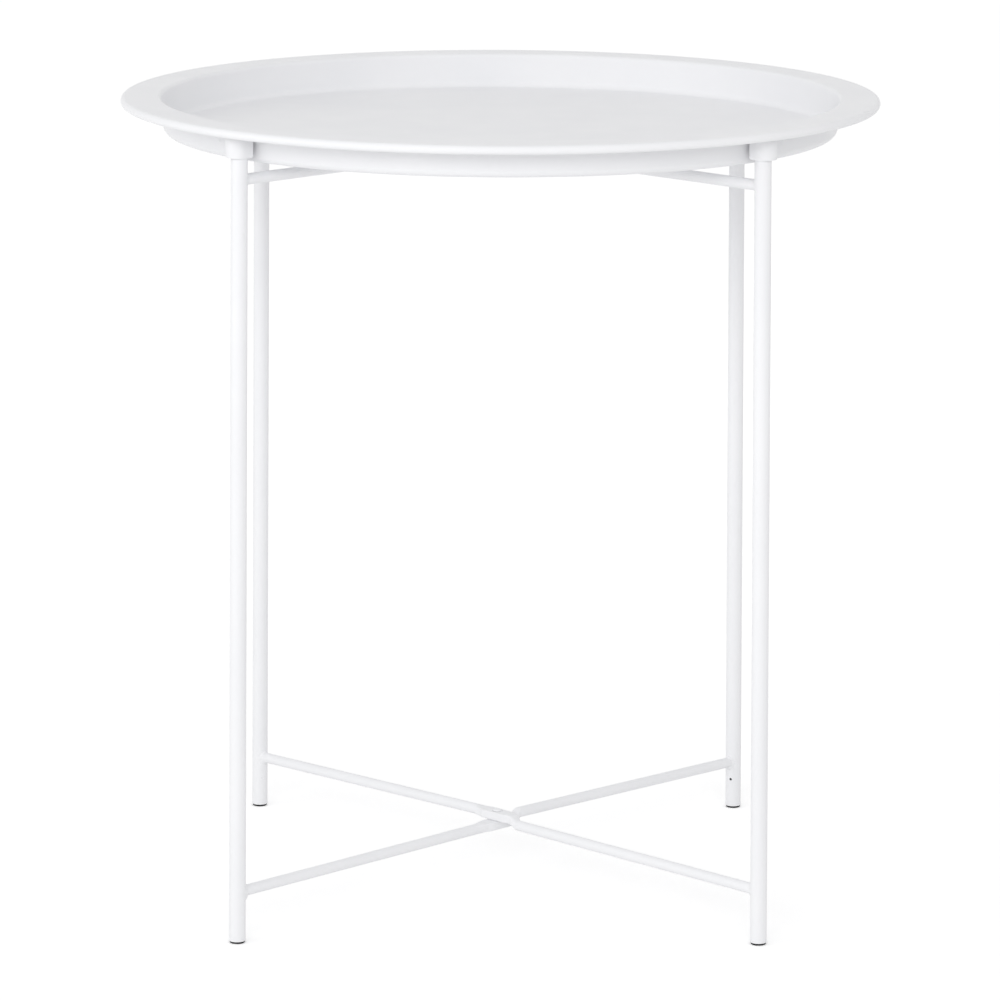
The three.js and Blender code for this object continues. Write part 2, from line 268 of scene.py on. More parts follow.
class Nodes:
    """The node tree of a new material or world, with short calls for the nodes used here."""

    def __init__(self, owner, output):
        owner.use_nodes = True
        self.tree = owner.node_tree
        self.tree.nodes.clear()
        self.output = self.add(output)

    def add(self, kind, **values):
        """A new node with those settings."""
        node = self.tree.nodes.new(kind)
        for key, value in values.items():
            setattr(node, key, value)
        return node

    def link(self, source, target):
        """Joins an output socket to an input socket."""
        self.tree.links.new(source, target)

    def show(self, shader):
        """Makes a shader the one that the tree puts out."""
        self.link(shader, self.output.inputs["Surface"])

    def position(self):
        """Object coordinates, in metres."""
        return self.add("ShaderNodeTexCoord").outputs["Object"]

    def principled(self, specular):
        """A Principled shader, already put out."""
        shader = self.add("ShaderNodeBsdfPrincipled")
        shader.inputs["Specular IOR Level"].default_value = specular
        self.show(shader.outputs["BSDF"])
        return shader

    def noise(self, position, scale, detail=2.0, roughness=0.5):
        """Noise from 0 to 1."""
        node = self.add("ShaderNodeTexNoise")
        node.inputs["Scale"].default_value = scale
        node.inputs["Detail"].default_value = detail
        node.inputs["Roughness"].default_value = roughness
        self.link(position, node.inputs["Vector"])
        return node.outputs["Fac"]

    def spread(self, value, low, high, start=NOISE_LOW, end=NOISE_HIGH):
        """Turns the range from start to end into the range from low to high."""
        node = self.add("ShaderNodeMapRange")
        numbers = {"From Min": start, "From Max": end, "To Min": low, "To Max": high}
        for socket, number in numbers.items():
            node.inputs[socket].default_value = number
        self.link(value, node.inputs["Value"])
        return node.outputs["Result"]

    def blend(self, noise, first, second):
        """A colour between two, by a noise."""
        ramp = self.add("ShaderNodeValToRGB")
        stops = (NOISE_LOW, first), (NOISE_HIGH, second)
        for element, (position, colour) in zip(ramp.color_ramp.elements, stops):
            element.position = position
            element.color = (*colour, 1.0)
        self.link(noise, ramp.inputs["Fac"])
        return ramp.outputs["Color"]

    def bump(self, height, depth, strength, normal=None):
        """The normal of a relief of that depth, laid over another one where it is given."""
        node = self.add("ShaderNodeBump")
        node.inputs["Strength"].default_value = strength
        node.inputs["Distance"].default_value = depth
        self.link(height, node.inputs["Height"])
        if normal is not None:
            self.link(normal, node.inputs["Normal"])
        return node.outputs["Normal"]

    def maths(self, operation, first, second):
        """The result of a maths node on two sockets."""
        node = self.add("ShaderNodeMath", operation=operation)
        self.link(first, node.inputs[0])
        self.link(second, node.inputs[1])
        return node.outputs[0]

    def white_rays(self):
        """1 for rays that show white (camera, gloss, glass), 0 for rays that carry light."""
        path = self.add("ShaderNodeLightPath")
        result = path.outputs["Is Camera Ray"]
        for kind in ("Is Glossy Ray", "Is Transmission Ray"):
            result = self.maths("MAXIMUM", result, path.outputs[kind])
        return result


def new_material(name):
    """A material and its empty node tree."""
    material = bpy.data.materials.new(name)
    return material, Nodes(material, "ShaderNodeOutputMaterial")


COAT_SHADES = ((0.862, 0.866, 0.886), (0.889, 0.891, 0.907))
COAT_ROUGHNESS = (0.36, 0.50)
PLASTIC_SHADES = ((0.006, 0.006, 0.007), (0.013, 0.013, 0.014))
PLASTIC_ROUGHNESS = (0.50, 0.72)


def coated_steel():
    """White powder coat: nearly even colour, a low waviness and a finer orange peel."""
    material, nodes = new_material("coated_steel")
    shader = nodes.principled(specular=0.45)
    position = nodes.position()
    clouds = nodes.noise(position, scale=14.0, detail=3.0)
    nodes.link(nodes.blend(clouds, *COAT_SHADES), shader.inputs["Base Color"])
    gloss = nodes.noise(position, scale=55.0, detail=4.0)
    nodes.link(nodes.spread(gloss, *COAT_ROUGHNESS), shader.inputs["Roughness"])
    slow, quick = nodes.noise(position, scale=160.0), nodes.noise(position, scale=900.0)
    fine = nodes.noise(position, scale=2600.0, detail=1.0)
    wave = nodes.bump(slow, depth=0.00012, strength=0.22)
    peel = nodes.bump(quick, depth=0.00004, strength=0.30, normal=wave)
    grain = nodes.bump(fine, depth=0.000015, strength=0.25, normal=peel)
    nodes.link(grain, shader.inputs["Normal"])
    return material


def black_plastic():
    """Moulded black plastic: fine spark texture with slightly uneven gloss."""
    material, nodes = new_material("black_plastic")
    shader = nodes.principled(specular=0.2)
    position = nodes.position()
    clouds = nodes.noise(position, scale=220.0, detail=3.0)
    nodes.link(nodes.blend(clouds, *PLASTIC_SHADES), shader.inputs["Base Color"])
    gloss = nodes.noise(position, scale=700.0, detail=3.0)
    nodes.link(nodes.spread(gloss, *PLASTIC_ROUGHNESS), shader.inputs["Roughness"])
    sparks = nodes.noise(position, scale=3200.0, detail=3.0, roughness=0.6)
    nodes.link(nodes.bump(sparks, depth=0.00004, strength=0.5), shader.inputs["Normal"])
    return material


SLOT_MATERIAL = {"coated_steel": coated_steel(), "black_plastic": black_plastic()}

# ------------------------------------------------------------------ mesh helpers

# Angles beyond which an edge stays sharp, in degrees
SHARP = 32.0
WELD_SHARP = 60.0
# Points nearer than this are joined, in metres
MERGE_DISTANCE = 1e-7
# Points of a profile nearer to the axis than this lie on it
ON_AXIS = 1e-6


def arc(centre_x, centre_y, radius, start, end, steps):
    """Points of an arc in a plane, angles in degrees."""
    angles = np.radians(np.linspace(start, end, steps + 1))
    return [[centre_x + radius * math.cos(a), centre_y + radius * math.sin(a)] for a in angles]


def spaced(start, end, steps):
    """Numbers from start to end in equal steps, both included."""
    return list(np.linspace(start, end, steps + 1))


def mix(first, second, share):
    """The value that lies a share of the way from the first to the second."""
    return first + (second - first) * share


def eased(share):
    """A share from 0 to 1 that starts and ends gently."""
    return share * share * (3 - 2 * share)


def in_place(points):
    """The move of a piece that is made where it belongs."""
    return points


def about_axis(angle):
    """Move of a piece made along X: a turn about the table's axis."""
    turn = np.array([
        [math.cos(angle), -math.sin(angle), 0.0], [math.sin(angle), math.cos(angle), 0.0],
        [0.0, 0.0, 1.0],
    ])
    return lambda points: points @ turn.T


def toward_leg(place, reach):
    """The point at that distance from the table's axis on the way to a leg."""
    return reach * np.array([math.cos(AZIMUTH[place]), math.sin(AZIMUTH[place]), 0.0])


class Skin:
    """Vertices and faces of one mesh, collected before it is made."""

    def __init__(self):
        self.points = []
        self.faces = []

    def ring(self, points):
        """Adds points and returns their numbers."""
        start = len(self.points)
        self.points.extend([tuple(point) for point in points])
        return list(range(start, len(self.points)))

    def band(self, here, there, skip=()):
        """Quads between two closed rings of equal size."""
        count = len(here)
        for k in range(count):
            if k not in skip:
                after = (k + 1) % count
                self.faces.append((here[k], here[after], there[after], there[k]))

    def cone(self, ring, tip):
        """Triangles from a closed ring to one point, by its number."""
        for k in range(len(ring)):
            self.faces.append((ring[k], ring[(k + 1) % len(ring)], tip))

    def fan(self, ring, centre):
        """Closes a ring onto a new point."""
        self.cone(ring, self.ring([centre])[0])

    def tube(self, rings, looped=False):
        """A skin over rings in a row, closed at its ends or joined into a loop."""
        loops = [self.ring(points) for points in rings]
        for here, there in zip(loops, loops[1:]):
            self.band(here, there)
        if looped:
            self.band(loops[-1], loops[0])
        else:
            self.fan(loops[0][::-1], np.mean(rings[0], axis=0))
            self.fan(loops[-1], np.mean(rings[-1], axis=0))
        return self


def revolved(profile, sides):
    """A skin from a closed profile of [radius, height], turned about the vertical axis."""
    skin = Skin()
    angles = np.linspace(0.0, 2 * math.pi, sides, endpoint=False)
    loops = []
    for radius, height in profile:
        if radius < ON_AXIS:
            loops.append(skin.ring([(0.0, 0.0, height)]))
        else:
            loops.append(skin.ring([
                (radius * math.cos(a), radius * math.sin(a), height) for a in angles
            ]))
    for here, there in zip(loops, loops[1:] + loops[:1]):
        if len(here) > 1 and len(there) > 1:
            skin.band(here, there)
        elif len(here) != len(there):
            ring, tip = (here, there) if len(here) > 1 else (there, here)
            skin.cone(ring, tip[0])
    return skin


def make_mesh(name, skin, move=in_place, sharp=SHARP):
    """An object with that skin, faces turned outward, smooth where the skin bends gently."""
    mesh = bpy.data.meshes.new(name)
    points = move(np.array(skin.points, float)) * MM
    mesh.from_pydata([tuple(point) for point in points], [], skin.faces)
    shape = bmesh.new()
    shape.from_mesh(mesh)
    bmesh.ops.remove_doubles(shape, verts=shape.verts, dist=MERGE_DISTANCE)
    bmesh.ops.recalc_face_normals(shape, faces=shape.faces)
    shape.to_mesh(mesh)
    shape.free()
    mesh.shade_smooth()
    mesh.set_sharp_from_angle(angle=math.radians(sharp))
    return new_object(name, mesh)


def bore_out(piece, hole):
    """Cuts a hole, given as a skin, through a piece."""
    cutter = make_mesh("cutter", hole)
    modifier = piece.modifiers.new("hole", "BOOLEAN")
    modifier.operation = "DIFFERENCE"
    modifier.solver = "EXACT"
    modifier.object = cutter
    depsgraph = bpy.context.evaluated_depsgraph_get()
    bored = bpy.data.meshes.new_from_object(piece.evaluated_get(depsgraph))
    piece.modifiers.clear()
    piece.data = bored
    bpy.data.objects.remove(cutter)


def finish_piece(piece, slot, body):
    """Gives a piece its material and the body that it moves with."""
    piece.data.materials.append(SLOT_MATERIAL[slot])
    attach(piece, body)


def stands_for(node, skin, slot, move=in_place, hole=None):
    """Makes the fine piece that stands for a CAD node, on the node's own body."""
    piece = make_mesh(f"{node}_fine", skin, move)
    if hole:
        bore_out(piece, hole)
    finish_piece(piece, slot, frame["nodes"][node]["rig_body"])
    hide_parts(node)


def add_weld(name, skin, move, body):
    """Makes a weld bead, for which the CAD model has no node."""
    piece = make_mesh(f"weld_{name}", skin, move, WELD_SHARP)
    finish_piece(piece, "coated_steel", body)


# ------------------------------------------------------------------ tray

TRAY_SIDES = 240
# Radii of the rows across the flat floor, and how close a row lies beside an arc
FLOOR_ROWS = (40.0, 110.0, 170.0)
SUPPORT = 0.5


def support_rows(first, second):
    """Two rows on the straight run between two arcs, one close to each, that keep it flat."""
    first, second = np.array(first), np.array(second)
    along = (second - first) / np.linalg.norm(second - first)
    return [list(first + along * SUPPORT), list(second - along * SUPPORT)]


def tray_profile():
    """The sheet's section, out along its underside to the curl's edge and back along its top."""
    floor_outer, rim_outer = FLOOR_CORNER + TRAY_SHEET, RIM_CORNER + TRAY_SHEET
    floor_height = TRAY_UNDERSIDE + floor_outer
    floor_radius = wall_radius(floor_height) - floor_outer / math.cos(DRAFT)
    rim_height = TABLE_HEIGHT - rim_outer
    rim_radius = wall_radius(rim_height) + RIM_CORNER / math.cos(DRAFT)
    curl = (TRAY_RADIUS - CURL_RADIUS, TABLE_HEIGHT - CURL_RADIUS)

    def face(floor_bend, rim_bend, curl_bend):
        """One face of the sheet, from the radii at its floor corner, rim corner and curl."""
        runs = [
            arc(floor_radius, floor_height, floor_bend, -90, -WALL_DRAFT, steps=14),
            arc(rim_radius, rim_height, rim_bend, 180 - WALL_DRAFT, 90, steps=12),
            arc(*curl, curl_bend, 90, 90 - CURL_TURN, steps=44),
        ]
        edge, level = runs[0][0]
        points = [[radius, level] for radius in (*FLOOR_ROWS, edge - SUPPORT)]
        for run, following in zip(runs, runs[1:]):
            points += [*run, *support_rows(run[-1], following[0])]
        return points + runs[-1]

    lower = face(floor_outer, RIM_CORNER, CURL_RADIUS - TRAY_SHEET)
    upper = face(FLOOR_CORNER, rim_outer, CURL_RADIUS)
    return [
        [0.0, TRAY_UNDERSIDE], *lower, *reversed(upper), [0.0, TRAY_UNDERSIDE + TRAY_SHEET],
    ]


stands_for("tray_pan", revolved(tray_profile(), TRAY_SIDES), "coated_steel")

# ------------------------------------------------------------------ hooks

# The strap's centreline in plan, round a leg that stands on the X axis: the loop's radius, and how
# far to the side the flange starts and ends
HOOK_LOOP = LEG_RADIUS + HOOK_PLAY + STRAP / 2
FLANGE_START = HOOK_SHIFT + HOOK_LOOP + HOOK_BEND
FLANGE_END = FLANGE_START + HOOK_FLANGE
# Rows along the flange, as shares of it, and at the free end, as shares of its corner's radius.
# They lie close together where a corner is rounded
FLANGE_ROWS = (1.0, 0.996, 0.99, 0.98, 0.97, 0.955, 0.94, 0.9, *spaced(0.8, 0.1, 7), 0.02)
FREE_ROWS = (1.2, 1.0, 0.85, 0.7, 0.55, 0.42, 0.3, 0.2, 0.12, 0.06, 0.02, 0.0)


def hook_line(height):
    """Centreline of the strap in plan, from the welded flange's end to the free end."""
    flange = wall_radius(mix(HOOK_TOP, height, FLANGE_LEAN)) + CONTACT + STRAP / 2
    free_end = wall_radius(HOOK_TOP) + HOOK_MOUTH - LEG_HIGH_REACH

    def on_wall(distance):
        """The point against the tray's wall at that distance to the side."""
        return [math.sqrt(flange ** 2 - distance ** 2) - LEG_HIGH_REACH, -distance]

    return np.array([
        *[on_wall(FLANGE_START + share * HOOK_FLANGE) for share in FLANGE_ROWS],
        *arc(on_wall(FLANGE_START)[0] + HOOK_BEND, -FLANGE_START, HOOK_BEND, 180, 90, steps=10),
        *arc(0, -HOOK_SHIFT, HOOK_LOOP, -90, 90, steps=40),
        *[[free_end + share * FREE_CORNER, HOOK_LOOP - HOOK_SHIFT] for share in FREE_ROWS],
    ])


def left_of(line):
    """Unit vectors across a line in plan, to its left."""
    along = np.gradient(line, axis=0)
    along /= np.linalg.norm(along, axis=1)[:, None]
    return np.stack([-along[:, 1], along[:, 0]], axis=1)


def corner_inset(to_end, corner):
    """How far a rounded corner cuts into the strap's height at a distance from its end."""
    if to_end >= corner:
        return 0.0
    return corner - math.sqrt(corner ** 2 - (corner - to_end) ** 2)


def strap_section(low, high):
    """[across, height] round the strap's section, with rounded edges."""
    half = STRAP / 2 - STRAP_EDGE
    low, high = low + STRAP_EDGE, high - STRAP_EDGE
    corners = ((-half, low, 180), (half, low, 270), (half, high, 0), (-half, high, 90))
    return [
        point for across, height, start in corners
        for point in arc(across, height, STRAP_EDGE, start, start + 90, steps=4)
    ]


def hook_skin(hand):
    """The strap, swept along its line."""
    bottom = HOOK_BOTTOM + HOOK_LIFT
    low_line, high_line = hook_line(bottom), hook_line(HOOK_TOP)
    low_side, high_side = left_of(low_line), left_of(high_line)
    middle = (low_line + high_line) / 2
    run = np.concatenate([[0.0], np.cumsum(np.linalg.norm(np.diff(middle, axis=0), axis=1))])
    rings = []
    for k, distance in enumerate(run):
        inset = max(
            corner_inset(distance, FLANGE_CORNER), corner_inset(run[-1] - distance, FREE_CORNER))
        ring = []
        for across, height in strap_section(bottom + inset, HOOK_TOP - inset):
            share = (height - bottom) / (HOOK_TOP - bottom)
            line = mix(low_line[k], high_line[k], share)
            side = mix(low_side[k], high_side[k], share)
            x, y = line + side * across
            ring.append((x, y * hand, height))
        rings.append(ring)
    return Skin().tube(rings)


def on_leg(place):
    """Move of a piece made at a leg's top, with X pointing away from the table's axis."""
    turn = about_axis(AZIMUTH[place])
    shift = toward_leg(place, LEG_HIGH_REACH)
    return lambda points: turn(points) + shift


for place in PLACES:
    stands_for(f"hook_{place}", hook_skin(HAND[place]), "coated_steel", on_leg(place))

# ------------------------------------------------------------------ legs

LEG_SIDES = 48
LEG_STEP = 2 * math.pi / LEG_SIDES
# A window of faces is left out round the drain hole: half its size in columns, half its height,
# its rows, and the distance from it to the next row
WINDOW = 3
WINDOW_HALF_HEIGHT = LEG_RADIUS * math.sin(WINDOW * LEG_STEP)
WINDOW_ROWS = spaced(
    VENT_HEIGHT - WINDOW_HALF_HEIGHT, VENT_HEIGHT + WINDOW_HALF_HEIGHT, 2 * WINDOW)
WINDOW_MARGIN = 4.0
# Rows along the rest of the leg
SHAFT_ROWS = spaced(60.0, LEG_TOP - 20.0, 8)
COATED_SHUT = ("back_left",)


def leg_rows():
    """[radius, height] of the rows up a leg's outside, and of those down its bore."""
    outer_edge = arc(LEG_RADIUS - TUBE_EDGE, 0, TUBE_EDGE, -90, 0, steps=4)
    inner_edge = arc(LEG_BORE + TUBE_EDGE, 0, TUBE_EDGE, 180, 270, steps=4)
    foot, head = FOOT_SHOW + TUBE_EDGE, LEG_TOP - TUBE_EDGE
    heights = [
        WINDOW_ROWS[0] - WINDOW_MARGIN, *WINDOW_ROWS, WINDOW_ROWS[-1] + WINDOW_MARGIN, *SHAFT_ROWS,
    ]
    outside = [
        *[(radius, foot + rise) for radius, rise in outer_edge],
        *[(LEG_RADIUS, height) for height in heights],
        *[(radius, head - rise) for radius, rise in reversed(outer_edge)],
    ]
    bore = [
        *[(radius, head - rise) for radius, rise in reversed(inner_edge)],
        *[(LEG_BORE, height) for height in reversed(heights)],
        *[(radius, foot + rise) for radius, rise in inner_edge],
    ]
    return outside, bore


def leg_point(distance, angle, height):
    """Point at a distance and an angle from the centreline of a leg that leans along X."""
    return (leg_reach(height) + distance * math.cos(angle), distance * math.sin(angle), height)


def leg_skin(vent, open_vent):
    """A leaning tube along X, with a drain hole at the angle vent, open or coated shut."""
    outside, bore = leg_rows()
    rows = outside + bore
    angles = vent + LEG_STEP * (np.arange(LEG_SIDES) - LEG_SIDES // 2)
    columns = range(LEG_SIDES // 2 - WINDOW, LEG_SIDES // 2 + WINDOW)
    skin = Skin()
    loops = [
        skin.ring([leg_point(radius, a, height) for a in angles]) for radius, height in rows
    ]

    # The window's rows on the outside come first, and those in the bore follow
    in_window = [k for k, (_, height) in enumerate(rows) if height in WINDOW_ROWS]
    windows = [in_window[:len(WINDOW_ROWS)]]
    if open_vent:
        windows.append(in_window[len(WINDOW_ROWS):])
    cut = [k for window in windows for k in window[:-1]]
    for k, (here, there) in enumerate(zip(loops, loops[1:] + loops[:1])):
        skin.band(here, there, skip=columns if k in cut else ())

    def window_edge(window):
        """Loop of points round a window, given as the numbers of its rows."""
        levels = sorted(window, key=lambda k: rows[k][1])
        first, last = columns[0], columns[-1] + 1
        loop = [loops[levels[0]][c] for c in range(first, last)]
        loop += [loops[k][last] for k in levels[:-1]]
        loop += [loops[levels[-1]][c] for c in range(last, first, -1)]
        return loop + [loops[k][first] for k in reversed(levels[1:])]

    edges = [window_edge(window) for window in windows]
    directions = []
    for index in edges[0]:
        x, y, z = skin.points[index]
        across = LEG_RADIUS * math.sin(math.atan2(y, x - leg_reach(z)) - vent)
        up = z - VENT_HEIGHT
        directions.append(np.array([across, up]) / math.hypot(across, up))

    def hole_ring(radius, distance):
        """Ring round the hole, at a distance from the leg's centreline."""
        return skin.ring([
            leg_point(distance, vent + math.asin(across / distance), VENT_HEIGHT + up)
            for across, up in np.array(directions) * radius
        ])

    rings = [
        edges[0],
        hole_ring(VENT_RADIUS + VENT_EDGE, LEG_RADIUS),
        hole_ring(VENT_RADIUS, LEG_RADIUS - VENT_EDGE),
    ]
    if open_vent:
        rings += [hole_ring(VENT_RADIUS, LEG_BORE), edges[1]]
    else:
        bottom = LEG_RADIUS - VENT_DIMPLE
        rings.append(hole_ring(DIMPLE_RADIUS, bottom))
        skin.fan(rings[-1], leg_point(bottom, vent, VENT_HEIGHT))
    for here, there in zip(rings, rings[1:]):
        skin.band(here, there)
    return skin


for place in PLACES:
    vent = math.pi + math.radians(VENT_AZIMUTH) * HAND[place]
    skin = leg_skin(vent, place not in COATED_SHUT)
    stands_for(f"leg_{place}", skin, "coated_steel", about_axis(AZIMUTH[place]))

# ------------------------------------------------------------------ plugs


def plug_profile(radius, head, edge, recess):
    """Head down: a recessed sole with its mark, a rounded rim, and a stem that fits the bore."""
    mark_inner, mark_crest, mark_outer = MARK_RADII
    flat = radius - edge - SOLE_RIM
    stem = LEG_BORE - PLUG_PLAY
    top = head + PLUG_STEM
    return [
        [0.0, recess],
        [mark_inner, recess], [mark_crest, recess - MARK_RISE], [mark_outer, recess],
        [flat - SOLE_SLOPE, recess], [flat - SOLE_SLOPE / 2, recess / 2], [flat, 0.0],
        *arc(radius - edge, edge, edge, -90, 0, steps=8),
        [radius, head - HEAD_CHAMFER], [radius - HEAD_CHAMFER, head],
        [stem + STEM_ROOT, head], [stem, head + STEM_ROOT],
        [stem, top - STEM_CHAMFER], [stem - STEM_CHAMFER, top],
        [0.0, top],
    ]


def under_leg(place):
    """Move of a foot plug, made head down, to a leg's lower end."""
    shift = toward_leg(place, leg_reach(0.0))
    return lambda points: points + shift


def over_leg(place):
    """Move of a cap, made head down, turned over to a leg's upper end."""
    shift = toward_leg(place, LEG_HIGH_REACH) + (0.0, 0.0, CAP_TOP)
    return lambda points: points * (1, -1, -1) + shift


foot = revolved(
    plug_profile(LEG_RADIUS - FOOT_INSET, FOOT_SHOW - CONTACT, FOOT_EDGE, FOOT_RECESS), LEG_SIDES)
cap = revolved(
    plug_profile(LEG_RADIUS, CAP_TOP - LEG_TOP - CONTACT, CAP_EDGE, CAP_RECESS), LEG_SIDES)
for place in PLACES:
    stands_for(f"foot_plug_{place}", foot, "black_plastic", under_leg(place))
    stands_for(f"top_plug_{place}", cap, "black_plastic", over_leg(place))

# ------------------------------------------------------------------ crossbars

RIVET_SIDES = 40
# Degrees round a quarter of a bar's section, closest together where a lap's flats begin
QUARTER = (1.5, 5.0, 14.0, 26.0, 39.0, 51.0, 64.0, 76.0, 85.0, 88.5)
# Rows along a bar: the first lies this far from its middle, one this far into its round part, and
# those of its shaft from this far into the round part to this far from the leg
FIRST_ROW = 1.0
ROUND_ROW = 0.8
SHAFT_START = 12.0
SHAFT_END = 3.0
# Steps in a lap's wide flat, where it narrows, where it turns round, and along the shaft
WIDE_STEPS, NARROW_STEPS, TAPER_STEPS, SHAFT_STEPS = 4, 10, 14, 6
# Per frame: its body, the leg at its bars' +X end, whether a bar's lap lies on top (1) or
# underneath (-1), and whether a bar's +X end (1) or its -X end (-1) leaves the lap upward
FRAMES = {
    "a": {
        "body": "frame_a", "positive": "front_right", "layer": {"lower": 1, "upper": -1},
        "rising_end": -1,
    },
    "b": {
        "body": "frame_b", "positive": "back_right", "layer": {"lower": -1, "upper": 1},
        "rising_end": 1,
    },
}


def bar_heights(level, layer):
    """Heights of a bar's ends and of its lap."""
    end_height = PAIR_HEIGHT[level] + layer * BAR_STAGGER / 2
    return end_height, PAIR_HEIGHT[level] + LAP_RAISE + layer * PIVOT_PITCH / 2


def bar_rows(end_height, lap_height, rising_end):
    """Rows of (x, height, share of flattening, half width) along a bar on the X axis."""
    reach = leg_reach(end_height)
    lap_wide, lap_end = LAP_WIDE_LENGTH / 2, LAP_LENGTH / 2
    start = lap_end + LAP_TAPER
    rows = []
    for side in (-1, 1):
        exit_height = end_height + LAP_RAISE + LAP_STEP * side * rising_end
        half = [
            (side * x, lap_height, 1.0, LAP_HALF_WIDTH)
            for x in spaced(FIRST_ROW, lap_wide, WIDE_STEPS)
        ]
        for share in spaced(0.0, 1.0, NARROW_STEPS)[1:]:
            width = mix(LAP_HALF_WIDTH, LAP_END_HALF_WIDTH, eased(share))
            half.append((side * mix(lap_wide, lap_end, share), lap_height, 1.0, width))
        for share in spaced(0.0, 1.0, TAPER_STEPS)[1:]:
            ease = eased(share)
            half.append((
                side * (lap_end + share * LAP_TAPER), mix(lap_height, exit_height, ease),
                1.0 - ease, mix(LAP_END_HALF_WIDTH, BAR_RADIUS, ease),
            ))
        shaft = spaced(start + SHAFT_START, reach - LEG_RADIUS - SHAFT_END, SHAFT_STEPS)
        for x in (start + ROUND_ROW, *shaft):
            share = (x - start) / (reach - start)
            half.append((side * x, mix(exit_height, end_height, share), 0.0, BAR_RADIUS))
        rows += half[::-1] if side < 0 else half
    return rows


def bar_ring(x, height, flattening, half_width):
    """Section of a bar, from a circle to the lap's rounded rectangle."""
    half_height = mix(BAR_RADIUS, LAP_THICKNESS / 2, flattening)
    corner = mix(BAR_RADIUS, LAP_CORNER, flattening)
    ring = []
    for turn, (side, up) in enumerate(((1, 1), (-1, 1), (-1, -1), (1, -1))):
        for degrees in QUARTER:
            angle = math.radians(90 * turn + degrees)
            ring.append((
                x, side * (half_width - corner) + corner * math.cos(angle),
                height + up * (half_height - corner) + corner * math.sin(angle),
            ))
    return ring


def leg_face(side, across, height, gap):
    """X of a leg's near face for a bar that lies along X."""
    return side * (leg_reach(height) - math.sqrt((LEG_RADIUS + gap) ** 2 - across ** 2))


def bar_skin(end_height, lap_height, rising_end):
    """A bar along X, its ends coped to the round of the legs."""
    ends = [
        [(leg_face(side, y, z, CONTACT), y, z)
         for _, y, z in bar_ring(0.0, end_height, 0.0, BAR_RADIUS)]
        for side in (-1, 1)
    ]
    rows = bar_rows(end_height, lap_height, rising_end)
    return Skin().tube([ends[0], *[bar_ring(*row) for row in rows], ends[1]])


def rivet_hole(height):
    """The hole through a lap, reaching beyond its two faces."""
    radius, low, high = RIVET_RADIUS + RIVET_PLAY, height - LAP_THICKNESS, height + LAP_THICKNESS
    return revolved([[0.0, low], [radius, low], [radius, high], [0.0, high]], RIVET_SIDES)


# ------------------------------------------------------------------ welds of the bars

# A bead's section is a web between two surfaces: a quarter round that overruns each of them by some
# degrees, flattened by one share of its size, with its root another share deep in the corner
WEB_OVERRUN = 14.0
WEB_ANGLES = np.radians(np.linspace(-WEB_OVERRUN, 90.0 + WEB_OVERRUN, 11))
WEB_FLATNESS = 0.13
WEB_ROOT = 0.35
BEAD_ROWS = 96
# Length of one drop of a bead, how far the drops stand out, and how far the size drifts. Each wave
# of the drift has its number round the bead, its part, and how much the seed moves it
DROP_LENGTH = 1.15
DROP_RISE = 0.10
DRIFT_RISE = 0.05
DRIFT_WAVES = ((3, 1.0, 1.7), (8, 0.6, 0.4))
# Each bead is uneven in its own way: its seed is this much more than the one before
SEED_STEP = 1.3


def fillet(corner, toward_bar, toward_leg_face, size):
    """Section of a weld: a slightly convex web from one surface to the other."""
    points = []
    for angle in WEB_ANGLES:
        reach = size * (1.0 - WEB_FLATNESS * max(0.0, math.sin(2 * angle)))
        points.append(
            corner + reach * (math.cos(angle) * toward_bar + math.sin(angle) * toward_leg_face))
    points.append(corner - WEB_ROOT * size * (toward_bar + toward_leg_face))
    return points


def ripple(share, length, seed):
    """Size factor at a share of a weld's run: whole numbers of uneven drops, so a ring closes."""
    turn = 2 * math.pi * share
    drops = 0.5 + 0.5 * math.cos(turn * round(length / DROP_LENGTH) + seed)
    drift = sum(part * math.sin(count * turn + moved * seed) for count, part, moved in DRIFT_WAVES)
    return 1.0 + DROP_RISE * drops + DRIFT_RISE * drift


def bar_weld(side, end_height, size, sag, seed):
    """Weld round the end of a bar that lies along X, laid on the leg's face."""
    toward_bar = np.array([-side, 0.0, 0.0])
    rings = []
    for k in range(BEAD_ROWS):
        angle = 2 * math.pi * k / BEAD_ROWS
        outward = np.array([0.0, math.cos(angle), math.sin(angle)])
        y, z = BAR_RADIUS * outward[1], end_height + BAR_RADIUS * outward[2]
        corner = np.array([leg_face(side, y, z, 0.0), y, z])
        leg_out = np.array([-side * math.sqrt(LEG_RADIUS ** 2 - y ** 2), y, 0.0]) / LEG_RADIUS
        along_leg = outward - leg_out * outward.dot(leg_out)
        along_leg /= np.linalg.norm(along_leg)
        under = max(0.0, -math.sin(angle)) ** 2
        uneven = ripple(k / BEAD_ROWS, 2 * math.pi * BAR_RADIUS, seed)
        rings.append(fillet(corner, toward_bar, along_leg, size * uneven * (1 + sag * under)))
    return Skin().tube(rings, looped=True)


seed = 0.0
for letter, spec in FRAMES.items():
    move = about_axis(AZIMUTH[spec["positive"]])
    for level, layer in spec["layer"].items():
        end_height, lap_height = bar_heights(level, layer)
        skin = bar_skin(end_height, lap_height, spec["rising_end"])
        stands_for(
            f"{level}_bar_{letter}", skin, "coated_steel", move, rivet_hole(lap_height))
        for side, end in ((-1, "left"), (1, "right")):
            seed += SEED_STEP
            size, sag = HEAVY_WELD if (level, letter, end) == HEAVY_AT else BAR_WELD[level]
            weld = bar_weld(side, end_height, size, sag, seed)
            add_weld(f"{level}_{letter}_{end}", weld, move, spec["body"])

# ------------------------------------------------------------------ rivets

# Below 1, a rivet's dome is fuller than an ellipse
DOME_POWER = 0.9
DOME_ANGLES = np.radians(np.linspace(6, 88, 14))


